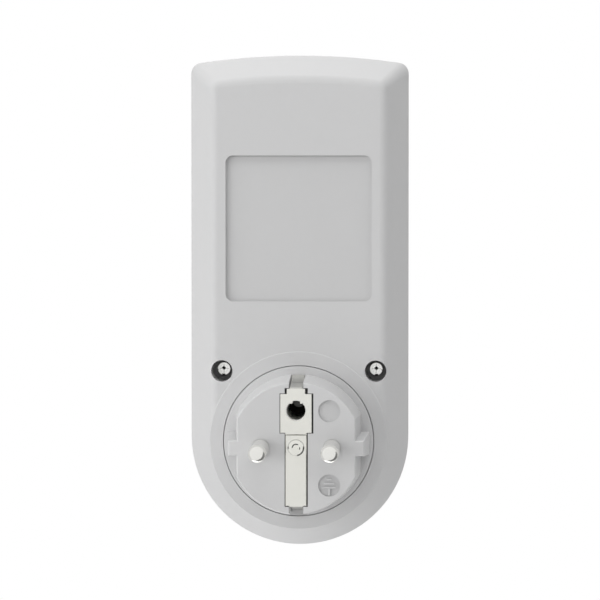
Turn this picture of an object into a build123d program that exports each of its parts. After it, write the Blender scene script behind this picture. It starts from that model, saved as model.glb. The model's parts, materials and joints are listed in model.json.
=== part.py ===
from build123d import *
import math
import os

# Plug in timer switch: a flat housing with a two-pin earthed plug on its back and, on its front,
# a display, keys and an earthed socket.
#
# Millimetres. Every piece is drawn in the back view: x to the right as seen from the wall, y up the
# housing and z out of the plug, with z = 0 on the plug's face, midway between its pins. stand_up
# turns it: +Y towards the wall, +Z up, +X to the right as seen from the front.

# Housing
body_width = 59.3
body_top = 105.1            # crown of the arched top, above the pins
crown_radius = 190.0
end_centre = 1.2            # centre of the rounded bottom end, above the pins
corner_radius = 3.0
corner_share = 0.4          # of a wall's thickness, that its inner corner is tighter by
rear_band = 5.4             # straight side of the rear shell, rim to parting line
wall = 2.0
front_draft = 0.45          # each side of the front shell narrows by this
front_fillet = 2.4

# Bevel round the back
bevel_depth = 8.8
side_bevel = 6.2
top_bevel = 6.3
bevel_corner_loss = 0.6     # the corner is this much tighter at the back face than at the rim
face_fillet = 2.8
rim_fillet = 1.2
joint_groove = 0.35         # shadow line round the parting line, depth and width

# Tongue of the front shell, inside the rear shell's skirt
tongue_thickness = 1.0
tongue_height = 1.5
close_gap = 0.1             # between pieces that locate each other

# Label recess
label_width = 39.6
label_height = 39.5
label_centre = 58.15
label_corner = 2.0
label_depth = 1.2

# Collar and plug insert
plug_height = 18.2          # plug's face above the seam
collar_rise = 0.12          # above the back, so that it shows most where the bevel falls away
collar_radius = 24.15
collar_centre = 0.7
collar_edge = 0.2
collar_foot = 4.0           # it reaches this far down into the bevel
insert_centre = 0.57
seam_radius = 20.52
insert_gap = 0.22
plug_flange_radius = 21.9
plug_flange_thickness = 1.8
plug_flange_drop = 1.2      # flange's outer face below the seam

# Plug block
block_radius = 17.65        # at the face
block_flat = 15.85
rib_reach = 18.15
rib_width = 4.1
block_draft = 1.05          # growth of every side from the face to the flange
block_edge = 0.45
groove_width = 3.9
groove_floor = 14.9
disc_radius = 2.95
disc_depth = 0.6
disc_place = (8.85, 9.9)

# Pins and earth contact
pin_spacing = 19.0
pin_radius = 2.4
pin_length = 19.0
pin_tip = 0.9
pin_fit = 0.05
pin_shank = 2.2             # inside the plastic
pin_shoulder = 0.05         # the full radius starts this far under the surface
tail_radius = 1.6
rivet_height = 0.3
earth_height = 10.0         # earth contact above the pins
earth_bore = 2.5
sheet = 0.4                 # contact sheet
seam_slot = 2.2             # open seam of the rolled earth contact

# Earth plate and strap in the plug's face
strap_thickness = 0.9
strap_recess = 0.05
pocket_gap = 0.12
plate_slack = 0.26          # more room on the right of the plate
strap_slack = 0.12          # and of the strap
plate_width = 8.5
plate_bottom = 4.05
plate_tongue = 0.45         # the strap's width goes on past the plate's shoulders
plate_top = 14.5
plate_hole = 2.7
tab_width = 5.0
tab_top = 15.9
strap_width = 5.8
strap_bottom = -15.5
strap_edge = 0.25           # rounding along the strap's outer edges
plate_edge = 0.15
strap_joint = 0.1
leg_width = 3.4
leg_lean = 2.6
leg_bend = 0.3              # the bend's reach past the plate's end
leg_crease = 1.0            # lean at the crease, halfway down
leg_notch = 0.2             # pressed into the crease, depth and half width
leg_foot = 0.15             # foot above the block's base
strap_screw_place = (0, 0.15)
strap_screw_head = 2.2
strap_screw_rise = 0.65
strap_screw_edge = 0.15
strap_screw_radius = 1.45
strap_dimple = (1.0, 0.3)           # radius, depth
strap_cross = (1.4, 0.4, 0.5)       # recess: length, width, depth

# Housing screws
screw_inset = 8.79          # from the housing's side
screw_y = 19.5
well_radius = 2.93
well_wall = 1.45
well_depth = 11.0           # back face to the screw's head
screw_head = 1.83
screw_head_height = 1.6
screw_head_edge = 0.15
screw_cross = (1.1, 0.45, 0.9)
screw_slots = (3.2, 0.4, 0.14)      # the cross runs on, shallow, nearly to the rim
screw_radius = 1.4
screw_length = 13.0
screw_room = 1.0            # drilled deeper than the screw's tip
screw_gap = 0.15
boss_radius = 3.7

# Snap hooks at the crown
hook_width = 6.0
hook_place = 12.0           # each side of the middle
hook_thickness = 1.3
hook_clear = 0.2
hook_catch = 0.7            # how far the barb reaches under the ledge
hook_barb = 1.4
hook_ledge = 0.8            # ledge, past the rebate for the tongue
hook_root = 3.0             # joined to the front shell's wall over this height

# Display
lens_width = 44.0
lens_height = 26.0
lens_corner = 2.0
lens_thickness = 1.1
lens_drop = 0.6             # display frame below the upper posts
lens_gap = 0.1
lens_edge = 0.2
view_width = 38.0
view_height = 19.5
view_corner = 1.0
panel_width = 42.0
panel_height = 23.6
panel_thickness = 2.6
panel_ledge = 2.0           # contact edge of the rear glass
frame_wall = 1.3
shelf_width = 1.5
strip_width = 2.0
strip_length = 36.0
strip_gap = 0.5

# Keys
key_width = 11.0
key_height = 6.4
key_proud = 0.8
key_edge = 0.5
key_gap = 0.25
key_flange = 0.8            # how far the flange reaches past the cap, and its thickness
key_travel = 0.8
key_rest_gap = 0.1
key_clear = 0.2             # left under a key that is pressed right down
key_pitch = 15.5            # across
key_row_pitch = 11.0
key_top_row = 57.0
key_names = (("key_minute", "key_hour", "key_day"), ("key_mode", "key_clock", "key_program"))
reset_radius = 1.6
reset_sunk = 0.3
reset_edge = 0.3
reset_drop = 10.5           # below the lower row
dome_radius = 3.2
dome_top = 2.0
mat_margin = 1.8            # keypad past its domes
mat_width = 44.0
mat_corner = 2.0

# Boards
board_thickness = 1.6
keypad_thickness = 1.2
dome_height = 1.4
control_side_gap = 3.65     # board to the housing's inner wall
control_bottom = 30.0
control_top_gap = 2.7
control_post_inset = 2.4    # from the board's ends
power_side_gap = 4.65
power_bottom = 32.0
power_top_gap = 7.1
power_post_inset = 4.0
post_side_inset = 3.5       # from a board's sides
board_corner = 1.0
post_height = 4.2           # rear shell's posts under the power board
post_radius = 2.2
pilot_radius = 0.9
board_hole = 1.3
board_screw_head = 2.0
board_screw_height = 1.2
board_screw_radius = 0.85
board_screw_grip = 3.4
board_screw_room = 0.4      # pilot hole past the screw's tip

# Components: place, then size
chip_at = (-8.0, 52.0)
chip_radius = 5.2
chip_top = 3.6
chip_height = 1.5
chip_edge = 1.0
crystal_at = (4.0, 52.0)
crystal_size = (3.1, 6.2, 3.1)
crystal_edge = 1.2
battery_at = (14.0, 66.0)
battery_radius = 5.8
battery_height = 5.2
battery_edge = 0.6
link_at = (-8.0, 88.0)
link_pitch = 2.54
link_pins = 5
link_pin = 0.64
relay_at = (-13.5, 55.0)
relay_size = (12.8, 29.0, 15.6)
relay_base = 1.2
relay_step = 0.3
film_at = (1.0, 56.0)
film_size = (8.2, 18.0, 14.0)
can_at = (15.0, 51.0)
can_radius = 4.1
can_height = 11.5
can_foot = 0.6
case_edge = 0.5
varistor_at = (14.0, 64.0)
varistor_radius = 4.6
varistor_thickness = 3.4
varistor_leg = 0.7
diode_at = (2.0, 76.0)
diode_pitch = 5.0
diode_count = 4
diode_radius = 1.35
diode_length = 5.2
resistor_at = (-14.0, 79.0)
resistor_radius = 2.2
resistor_length = 9.0
lead_radius = 0.35
lead_reach = 1.5            # of a lying part's lead, before it turns down
lying_gap = 0.3             # board to a lying part

# Socket
cup_radius = 19.6
cup_taper = 0.3             # narrower at the floor
cup_wall = 1.8
cup_proud = 0.6
cup_depth = 14.9
cup_floor = 2.0
cup_flange = 2.2
cup_flange_thickness = 1.4
cup_lip = 0.6
socket_hole = 2.75
socket_countersink = 0.5
earth_pin_reach = 14.0      # from the cup's floor
press_ring = 19.2           # cup's posts that hold the plug insert down
press_angle = 35            # above and below the pins' line
press_radius = 1.4

# Shutter
shutter_gap = 0.3
shutter_thickness = 4.0
shutter_half = 13.2
shutter_corner = 0.8
shutter_below = 5.2
shutter_above = 3.5
shutter_travel = 6.4
ramp_width = 6.0
ramp_lead = 2.8             # the ramp starts this far below the hole's axis
ramp_root = 0.6             # left behind the ramp's deep end
rail_thickness = 1.4
spring_closed = 5.0         # room for the spring when the shutter is right down
spring_radius = 1.5
spring_wire = 0.25
spring_turns = 7
spring_gap = 0.05           # at each end
spigot_radius = 1.0
spigot_height = 1.6

# Contact carrier, clips and busbars
carrier_gap = 0.2
carrier_radius = 20.6
carrier_thickness = 1.4
cradle_half = 4.4
cradle_wall = 1.1
cradle_depth = 8.0
cradle_corner = 1.0
carrier_screw_x = 17.6
carrier_post = 1.9
clip_bore = 2.35
clip_sheet = 0.6
clip_slot = 1.4
bar_thickness = 0.9
bar_width = 4.0
bar_eye = 3.4
bar_space = 1.1             # busbars to the clips' bases
base_thickness = 0.8
base_corner = 1.0
tab_thickness = 0.9
tab_reach = 1.0             # through the board
tab_gap = 0.2
live_tab_y = 40.5
load_tab_y = 34.2
neutral_tab_y = 36.0
earth_bar_width = 6.0
earth_bar_end = 3.4         # past the strap screw and past the socket's earth pin

# Levels along z
seam_level = -plug_height
back_face = seam_level - collar_rise
rim_level = back_face - bevel_depth
parting_level = rim_level - rear_band
inner_back = back_face - wall
flange_level = seam_level - plug_flange_drop
plug_back = flange_level - plug_flange_thickness
screw_seat = back_face - well_depth - screw_head_height
bar_high = plug_back - close_gap
bar_low = bar_high - bar_thickness
base_high = bar_low - bar_space
base_low = base_high - base_thickness
pin_end = base_low - close_gap          # how deep a plug's pins reach
floor_front = pin_end - pin_length
cup_rim = floor_front - cup_depth
front_face = cup_rim + cup_proud
inner_front = front_face + wall
floor_back = floor_front + cup_floor
shutter_front = floor_back + shutter_gap
shutter_back = shutter_front + shutter_thickness
carrier_front = shutter_back + carrier_gap
carrier_back = carrier_front + carrier_thickness
hook_seat = parting_level + tongue_height + close_gap + hook_ledge
hook_top = hook_seat + close_gap + hook_barb
power_back = inner_back - post_height
power_front = power_back - board_thickness
key_flange_front = inner_front + key_rest_gap
key_flange_back = key_flange_front + key_flange
dome_level = key_flange_back + key_travel + key_clear
keypad_front = dome_level + dome_height
control_front = keypad_front + keypad_thickness
control_back = control_front + board_thickness

live_at = (pin_spacing / 2, 0)
neutral_at = (-pin_spacing / 2, 0)
live_hole = (pin_spacing / 2, end_centre)
neutral_hole = (-pin_spacing / 2, end_centre)
earth_at = (0, earth_height)
earth_pin_at = (0, end_centre + earth_height)
cup_at = (0, end_centre)
collar_at = (0, collar_centre)
insert_at = (0, insert_centre)
spring_seat = end_centre - shutter_below - shutter_travel - spring_closed
screw_places = [(side * (body_width / 2 - screw_inset), screw_y) for side in (-1, 1)]
press_x = press_ring * math.cos(math.radians(press_angle))
press_y = press_ring * math.sin(math.radians(press_angle))
press_posts = [(x, end_centre + y) for x in (-press_x, press_x) for y in (-press_y, press_y)]
carrier_screw_places = [(side * carrier_screw_x, end_centre) for side in (-1, 1)]

key_rows = (key_top_row, key_top_row - key_row_pitch)
key_columns = (-key_pitch, 0, key_pitch)
reset_at = (0, key_rows[1] - reset_drop)

control_width = body_width - 2 * (wall + control_side_gap)
control_top = body_top - wall - control_top_gap
power_width = body_width - 2 * (wall + power_side_gap)
power_top = body_top - wall - power_top_gap
frame_half = panel_height / 2 + frame_wall + close_gap
lens_centre = control_top - control_post_inset - post_radius - lens_drop - frame_half


def corner_posts(width, bottom, top, inset):
    """A board's four fixing places."""
    x = width / 2 - post_side_inset
    return [(side * x, y) for side in (-1, 1) for y in (bottom + inset, top - inset)]


control_posts = corner_posts(control_width, control_bottom, control_top, control_post_inset)
power_posts = corner_posts(power_width, power_bottom, power_top, power_post_inset)
live_tab = (live_at[0], live_tab_y)
load_tab = (live_at[0], load_tab_y)
neutral_tab = (neutral_at[0], neutral_tab_y)

standing = (Align.CENTER, Align.CENTER, Align.MIN)


def rod(radius, low, high, at=(0, 0)):
    """A round bar along z."""
    return Pos(at[0], at[1], low) * Cylinder(radius, high - low, align=standing)


def tube(radius, bore, low, high, at=(0, 0)):
    return rod(radius, low, high, at) - rod(bore, low - 1, high + 1, at)


def slab(width, height, low, high, at=(0, 0), corner=0.0):
    """A plate across z, with rounded corners if they are given."""
    face = RectangleRounded(width, height, corner) if corner else Rectangle(width, height)
    return extrude(Pos(at[0], at[1], low) * face, high - low)


def round_ended(width, height, low, high, at):
    """A plate across z with half-round ends."""
    return extrude(Pos(at[0], at[1], low) * SlotOverall(width, height), high - low)


def cross(size, top, at):
    """The cross recess in a screw's head, from its top down."""
    length, width, depth = size
    low = top - depth
    return slab(length, width, low, top + depth, at) + slab(width, length, low, top + depth, at)


def bar_in_view(points, width, x=0.0):
    """A profile of (y, z) points, extruded across x."""
    outline_yz = Plane.YZ * make_face(Polyline(*points, close=True))
    return Pos(x, 0, 0) * extrude(outline_yz, width / 2, both=True)


def edges_at(shape, level):
    """The edges that lie wholly at one height."""
    return [
        edge
        for edge in shape.edges()
        if abs(edge.bounding_box().min.Z - level) < 0.01 and abs(edge.bounding_box().max.Z - level) < 0.01
    ]


def stand_up(shape):
    return Plane(origin=(0, 0, 0), x_dir=(-1, 0, 0), z_dir=(0, 1, 0)).location * shape


# The housing's form

def inner_corner(inset):
    """The corner radius of an outline that is pulled in by inset."""
    return corner_radius - corner_share * inset


def outline(side, top, corner):
    """The housing's outline, pulled in by side and top: arched top, round bottom, filleted shoulders."""
    half = body_width / 2 - side
    crown = crown_radius - top
    shoulder = body_top - crown_radius + math.sqrt(crown**2 - half**2)
    face = make_face(
        [
            CenterArc(cup_at, half, 180, 180),
            Line((half, end_centre), (half, shoulder)),
            ThreePointArc((half, shoulder), (0, body_top - top), (-half, shoulder)),
            Line((-half, shoulder), (-half, end_centre)),
        ]
    )
    return fillet(face.vertices().sort_by(Axis.Y)[-2:], corner)


def bevel_outline(level, thickness=0.0):
    """The bevel's section at a level, for the outside or, with a thickness, for the inside of the wall."""
    rise = level - rim_level
    side = rise * side_bevel / bevel_depth + thickness / math.sin(math.atan2(bevel_depth, side_bevel))
    top = rise * top_bevel / bevel_depth + thickness / math.sin(math.atan2(bevel_depth, top_bevel))
    corner = inner_corner(thickness) - bevel_corner_loss * rise / bevel_depth
    return Pos(0, 0, level) * outline(side, top, corner)


def rear_block():
    band = extrude(Pos(0, 0, parting_level) * outline(0, 0, corner_radius), rear_band)
    block = band + loft([bevel_outline(rim_level), bevel_outline(back_face)], ruled=True)
    block = fillet(block.faces().sort_by(Axis.Z)[-1].edges(), face_fillet)
    return fillet(edges_at(block, rim_level), rim_fillet)


def rear_cavity():
    slope = math.sin(math.atan2(bevel_depth, side_bevel))
    inner_rim = rim_level - (wall / slope - wall) * bevel_depth / side_bevel
    band = extrude(
        Pos(0, 0, parting_level) * outline(wall, wall, inner_corner(wall)),
        inner_rim - parting_level,
    )
    return band + loft([bevel_outline(inner_rim, wall), bevel_outline(inner_back, wall)], ruled=True)


def front_section(level, inset):
    """The front shell's drafted section at a level."""
    drawn_in = inset + front_draft * (parting_level - level) / (parting_level - front_face)
    return Pos(0, 0, level) * outline(drawn_in, drawn_in, inner_corner(inset))


def make_rear_shell():
    block = rear_block()
    collar = rod(collar_radius, back_face - collar_foot, seam_level, collar_at)
    shell = block + fillet(edges_at(collar, seam_level), collar_edge)
    shell -= rear_cavity()
    shell -= rod(seam_radius, rim_level, seam_level + 1, insert_at)
    shell -= rod(plug_flange_radius + insert_gap, rim_level, flange_level, insert_at)
    shell -= slab(
        label_width, label_height, back_face - label_depth, back_face + 1, (0, label_centre), label_corner
    )
    for at in screw_places:
        shell += rod(well_radius + well_wall, parting_level, back_face, at) & block
        shell -= rod(well_radius, screw_seat, back_face + 1, at)
        shell -= rod(screw_radius + screw_gap, parting_level - 1, screw_seat, at)
    for at in power_posts:
        shell += rod(post_radius, power_back, inner_back, at)
        shell -= rod(pilot_radius, power_back - 1, power_back + board_screw_grip, at)
    skirt = wall - tongue_thickness - close_gap
    rebate = Pos(0, 0, parting_level) * outline(skirt, skirt, inner_corner(skirt))
    shell -= extrude(rebate, tongue_height + close_gap) - screw_wells_keep()
    shell -= wall_ring(-joint_groove, joint_groove, parting_level, parting_level + joint_groove)
    catch = wall - hook_catch - close_gap
    return shell - hooks_only(wall_ring(catch, 2 * wall, hook_seat, hook_top + close_gap), close_gap)


def wall_ring(outer, inner, low, high):
    """A band that follows the housing's wall, between two insets of its outline."""
    ring = outline(outer, outer, inner_corner(outer)) - outline(inner, inner, inner_corner(inner))
    return extrude(Pos(0, 0, low) * ring, high - low)


def hooks_only(ring, room=0.0):
    """The parts of such a band where the snap hooks are."""
    reach = 4 * wall
    box = [
        slab(hook_width + 2 * room, 2 * reach, front_face, back_face, (side * hook_place, body_top - wall))
        for side in (-1, 1)
    ]
    return ring & (Part() + box)


def screw_wells_keep():
    """The wells' feet, which the rebate for the tongue leaves whole."""
    feet = [rod(well_radius + well_wall, parting_level - 1, rim_level, at) for at in screw_places]
    return Part() + feet


def make_hooks():
    """Two arms on the front shell's crown, each with a barb that snaps over a ledge in the rear shell."""
    near = wall + hook_clear
    far = near + hook_thickness
    arms = wall_ring(near, far, parting_level - hook_root, hook_top)
    roots = wall_ring(wall - close_gap, far, parting_level - hook_root, parting_level - close_gap)
    barbs = wall_ring(wall - hook_catch, far, hook_seat + close_gap, hook_top)
    hooks = hooks_only(arms + roots + barbs)
    leading = ShapeList(edges_at(hooks, hook_top)).sort_by(Axis.Y)[-2:]
    return chamfer(leading, hook_catch - close_gap)


def make_front_shell():
    body = loft([front_section(parting_level, 0), front_section(front_face, 0)], ruled=True)
    body = fillet(body.faces().sort_by(Axis.Z)[0].edges(), front_fillet)
    body -= loft([front_section(parting_level, wall), front_section(inner_front, wall)], ruled=True)
    lip = wall - tongue_thickness
    lip_out = outline(lip, lip, inner_corner(lip))
    lip_in = outline(wall, wall, inner_corner(wall))
    body += extrude(Pos(0, 0, parting_level) * (lip_out - lip_in), tongue_height)
    body += make_hooks()
    body -= rod(cup_radius + cup_wall + close_gap, front_face - 1, inner_front + 1, cup_at)
    recess = lens_thickness + close_gap
    body -= slab(
        lens_width + 2 * lens_gap, lens_height + 2 * lens_gap, front_face - 1, front_face + recess,
        (0, lens_centre), lens_corner,
    )
    body -= slab(view_width, view_height, front_face, inner_front + 1, (0, lens_centre), view_corner)
    for y in key_rows:
        for x in key_columns:
            body -= round_ended(
                key_width + 2 * key_gap, key_height + 2 * key_gap, front_face - 1, inner_front + 1, (x, y)
            )
    body -= rod(reset_radius + key_gap, front_face - 1, inner_front + 1, reset_at)
    for at in screw_places:
        body += rod(boss_radius, inner_front, parting_level, at)
        body -= rod(screw_radius + pin_fit, screw_seat - screw_length - screw_room, parting_level + 1, at)
    for at in control_posts:
        body += rod(post_radius, inner_front, control_front, at)
        body -= rod(pilot_radius, control_front - board_screw_grip, control_front + 1, at)
    return body


# Plug insert

def block_section(growth):
    """The plug block's outline: a circle with two flats and a guide rib in the middle of each."""
    radius = block_radius + growth
    flat = block_flat + growth
    reach = rib_reach + growth
    half_rib = rib_width / 2 + growth
    high = math.sqrt(radius**2 - flat**2)
    return make_face(
        [
            Polyline(
                (flat, -high), (flat, -half_rib), (reach, -half_rib),
                (reach, half_rib), (flat, half_rib), (flat, high),
            ),
            ThreePointArc((flat, high), (0, radius), (-flat, high)),
            Polyline(
                (-flat, high), (-flat, half_rib), (-reach, half_rib),
                (-reach, -half_rib), (-flat, -half_rib), (-flat, -high),
            ),
            ThreePointArc((-flat, -high), (0, -radius), (flat, -high)),
        ]
    )


def strap_pocket():
    """Room for the earth plate, its tab and the strap: a slot of the strap's width, wider at the plate."""
    gap = pocket_gap
    floor = -strap_recess - strap_thickness
    plate = slab(
        plate_width + 2 * gap + plate_slack, plate_top - plate_bottom + 2 * gap, floor, 1,
        (plate_slack / 2, (plate_top + plate_bottom) / 2),
    )
    return plate + slab(
        strap_width + 2 * gap + strap_slack, tab_top - strap_bottom + 2 * gap, floor, 1,
        (strap_slack / 2, (tab_top + strap_bottom) / 2),
    )


def make_plug_body():
    block = loft(
        [Pos(0, 0, seam_level) * block_section(block_draft), block_section(0)], ruled=True
    )
    block = fillet(edges_at(block, 0), block_edge)
    body = block + rod(seam_radius - insert_gap, flange_level, seam_level, insert_at)
    body += rod(plug_flange_radius, plug_back, flange_level, insert_at)
    body -= strap_pocket()
    for side in (-1, 1):
        reach = 2 * block_radius
        body -= slab(groove_width, reach, seam_level, 1, (0, side * (groove_floor + reach / 2)))
        body -= rod(disc_radius, -disc_depth, 1, (disc_place[0], side * disc_place[1]))
        body -= rod(pin_shank + pin_fit, plug_back - 1, 1, (side * pin_spacing / 2, 0))
        body -= rod(pin_radius + pin_fit, -2 * pin_shoulder, 1, (side * pin_spacing / 2, 0))
    body -= rod(earth_bore + sheet + close_gap, plug_back - 1, 1, earth_at)
    return body - rod(strap_screw_radius + pin_fit, plug_back - 1, 1, strap_screw_place)


def make_pin(at, tail_end):
    pin = rod(pin_radius, -pin_shoulder, pin_length, at)
    pin = fillet(edges_at(pin, pin_length), pin_tip)
    pin += rod(pin_shank, plug_back, -pin_shoulder, at)
    return pin + rod(tail_radius, tail_end, plug_back, at)


def contact_leg(side, start):
    """A sprung side contact, bent back from the plug's face into an end groove and leaning outwards."""
    top = -strap_recess
    bend = 2 * strap_thickness
    crease = start + leg_crease
    middle = seam_level / 2
    foot = (start + leg_lean, seam_level + leg_foot)
    inner = [(start - bend, top), (start + leg_bend - strap_thickness, -bend / 2)]
    inner += [(crease - strap_thickness, middle), (foot[0] - strap_thickness, foot[1])]
    notch = [(crease, middle - leg_notch), (crease - leg_notch, middle), (crease, middle + leg_notch)]
    outer = [foot] + notch + [(start + leg_bend, -bend / 2), (start, top)]
    return bar_in_view([(side * y, z) for y, z in inner + outer], leg_width)


def make_earth_plate():
    low = -strap_recess - strap_thickness
    high = -strap_recess
    middle = (plate_top + plate_bottom) / 2
    plate = slab(plate_width, plate_top - plate_bottom, low, high, (0, middle))
    plate += slab(tab_width, tab_top - middle, low, high, (0, (tab_top + middle) / 2))
    end = plate_bottom - plate_tongue
    plate += slab(strap_width, middle - end, low, high, (0, (middle + end) / 2))
    plate = fillet(edges_at(plate, high), plate_edge)
    plate += contact_leg(1, tab_top)
    return plate - rod(plate_hole, low - 1, high + 1, earth_at)


def make_earth_strap():
    low = -strap_recess - strap_thickness
    high = -strap_recess
    top = plate_bottom - plate_tongue - strap_joint
    strap = slab(strap_width, top - strap_bottom, low, high, (0, (top + strap_bottom) / 2))
    strap = fillet(edges_at(strap, high), strap_edge)
    strap += contact_leg(-1, -strap_bottom)
    return strap - rod(strap_screw_radius + pin_fit, low - 1, high + 1, strap_screw_place)


def make_earth_sleeve():
    """The rolled contact under the round hole, with its open seam at the top."""
    top = -strap_recess - strap_thickness
    sleeve = tube(earth_bore + sheet, earth_bore, plug_back, top, earth_at)
    reach = earth_bore + 2 * sheet
    return sleeve - slab(seam_slot, reach, plug_back - 1, top + 1, (0, earth_height + reach / 2))


def make_strap_screw():
    seat = -strap_recess
    top = seat + strap_screw_rise
    head = rod(strap_screw_head, seat, top, strap_screw_place)
    head = fillet(edges_at(head, top), strap_screw_edge) - cross(strap_cross, top, strap_screw_place)
    dimple, depth = strap_dimple
    head -= rod(dimple, top - depth, top + depth, strap_screw_place)
    return head + rod(strap_screw_radius, bar_low - rivet_height, seat, strap_screw_place)


def make_housing_screws():
    screws = []
    for at in screw_places:
        top = screw_seat + screw_head_height
        head = rod(screw_head, screw_seat, top, at)
        head = fillet(edges_at(head, top), screw_head_edge)
        head -= cross(screw_cross, top, at) + cross(screw_slots, top, at)
        screws.append(head + rod(screw_radius, screw_seat - screw_length, screw_seat, at))
    return Compound(children=screws)


# Display

def make_lcd_window():
    lens = slab(
        lens_width, lens_height, front_face, front_face + lens_thickness, (0, lens_centre),
        lens_corner - lens_gap,
    )
    return chamfer(edges_at(lens, front_face), lens_edge)


def make_lcd_panel():
    """Two glasses, the rear one longer so that its contact edges stand clear."""
    low = inner_front + close_gap
    mid = low + panel_thickness / 2
    front_glass = slab(panel_width, panel_height - 2 * panel_ledge, low, mid, (0, lens_centre))
    return front_glass + slab(panel_width, panel_height, mid, low + panel_thickness, (0, lens_centre))


def make_lcd_frame():
    low = inner_front + close_gap
    wide = panel_width + 2 * frame_wall + 2 * close_gap
    high = panel_height + 2 * frame_wall + 2 * close_gap
    frame = slab(wide, high, low, control_front, (0, lens_centre))
    frame -= slab(
        wide - 2 * frame_wall, high - 2 * frame_wall, low - 1, control_front + 1, (0, lens_centre)
    )
    glass = low + panel_thickness
    shelf_height = panel_height - 2 * (strip_width + strip_gap)
    shelf = slab(wide - frame_wall, shelf_height, glass, control_front, (0, lens_centre))
    shelf -= slab(
        panel_width - 2 * shelf_width, shelf_height - 2 * shelf_width, glass - 1, control_front + 1,
        (0, lens_centre),
    )
    return frame + shelf


def make_contact_strips():
    low = inner_front + close_gap + panel_thickness
    offset = (panel_height - strip_width) / 2
    return Compound(
        children=[
            slab(strip_length, strip_width, low, control_front, (0, lens_centre + side * offset))
            for side in (-1, 1)
        ]
    )


# Keys

def make_key(at):
    top = front_face - key_proud
    cap = round_ended(key_width, key_height, top, key_flange_front, at)
    cap = fillet(edges_at(cap, top), key_edge)
    return cap + round_ended(
        key_width + 2 * key_flange, key_height + 2 * key_flange, key_flange_front, key_flange_back, at
    )


def make_reset_key():
    top = front_face + reset_sunk
    cap = rod(reset_radius, top, key_flange_front, reset_at)
    cap = fillet(edges_at(cap, top), reset_edge)
    return cap + rod(reset_radius + key_flange, key_flange_front, key_flange_back, reset_at)


def make_keypad():
    """The rubber mat, with a dome under each key."""
    bottom = reset_at[1] - dome_radius - mat_margin
    top = key_rows[0] + dome_radius + mat_margin
    mat = slab(mat_width, top - bottom, keypad_front, control_front, (0, (top + bottom) / 2), mat_corner)
    mat -= [rod(post_radius + close_gap, keypad_front - 1, control_front + 1, at) for at in control_posts]
    places = [(x, y) for y in key_rows for x in key_columns] + [reset_at]
    domes = [
        Pos(x, y, dome_level) * Cone(dome_top, dome_radius, dome_height, align=standing) for x, y in places
    ]
    return mat + domes


# Boards

def make_board(width, bottom, top, low, posts, slots=()):
    board = slab(width, top - bottom, low, low + board_thickness, (0, (top + bottom) / 2), board_corner)
    board -= [rod(board_hole, low - 1, low + board_thickness + 1, at) for at in posts]
    for at in slots:
        board -= slab(
            bar_width + 2 * tab_gap, tab_thickness + 2 * tab_gap, low - 1, low + board_thickness + 1, at
        )
    return board


def make_board_screws(posts, face, away):
    """Screws through a board: away is +1 where their heads stand towards the back."""
    screws = []
    for at in posts:
        head_end = face + away * board_screw_height
        head = rod(board_screw_head, min(face, head_end), max(face, head_end), at)
        tip = face - away * (board_thickness + board_screw_grip - board_screw_room)
        screws.append(head + rod(board_screw_radius, min(face, tip), max(face, tip), at))
    return Compound(children=screws)


def make_control_chip():
    """The chip's resin blob: a flat dome on the back of the control board."""
    top = control_back + chip_height
    blob = Pos(*chip_at, control_back) * Cone(chip_radius, chip_top, chip_height, align=standing)
    return fillet(edges_at(blob, top), chip_edge)


def make_crystal():
    width, length, height = crystal_size
    can = slab(width, length, control_back, control_back + height, crystal_at)
    return fillet(can.edges().filter_by(Axis.Y), crystal_edge)


def make_backup_battery():
    top = control_back + battery_height
    return fillet(edges_at(rod(battery_radius, control_back, top, battery_at), top), battery_edge)


def make_board_link():
    """The pin header that joins the boards, with a strip at each end."""
    length = link_pins * link_pitch
    ends = ((control_back, control_back + link_pitch), (power_front - link_pitch, power_front))
    strips = [slab(length, link_pitch, low, high, link_at) for low, high in ends]
    first = link_at[0] - (length - link_pitch) / 2
    pins = [
        slab(link_pin, link_pin, control_back, power_front, (first + link_pitch * index, link_at[1]))
        for index in range(link_pins)
    ]
    return Part() + strips + pins


def board_case(size, base, at):
    """A potted component's case on the power board, with its far edges eased."""
    width, length, height = size
    case = slab(width, length, power_front - height, power_front - base, at)
    return fillet(edges_at(case, power_front - height), case_edge)


def make_relay():
    """The 16 A relay: a case on its base."""
    width, length, _ = relay_size
    step = 2 * relay_step
    base = slab(width - step, length - step, power_front - relay_base, power_front, relay_at)
    return board_case(relay_size, relay_base, relay_at) + base


def make_electrolytic():
    low = power_front - can_height
    foot = power_front - can_foot
    can = fillet(edges_at(rod(can_radius, low, foot, can_at), low), case_edge)
    return can + rod(can_radius - case_edge, foot, power_front, can_at)


def make_varistor():
    x, y = varistor_at
    lift = varistor_radius + varistor_leg
    disc = Pos(x, y, power_front - lift) * Rot(90, 0, 0) * Cylinder(varistor_radius, varistor_thickness)
    spread = varistor_radius / 2
    return disc + [
        slab(varistor_leg, varistor_leg, power_front - lift, power_front, (x + side * spread, y))
        for side in (-1, 1)
    ]


def make_lying_part(radius, length, at):
    """A part with end leads that lies on the power board."""
    x, y = at
    z = power_front - radius - lying_gap
    turned = Pos(x, y, z) * Rot(90, 0, 0)
    lead = length / 2 + lead_reach
    feet = [rod(lead_radius, z, power_front, (x, y + side * lead)) for side in (-1, 1)]
    return turned * Cylinder(radius, length) + turned * Cylinder(lead_radius, 2 * lead) + feet


def make_diodes():
    places = [(diode_at[0] + diode_pitch * index, diode_at[1]) for index in range(diode_count)]
    return Compound(children=[make_lying_part(diode_radius, diode_length, at) for at in places])


# Socket

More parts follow.
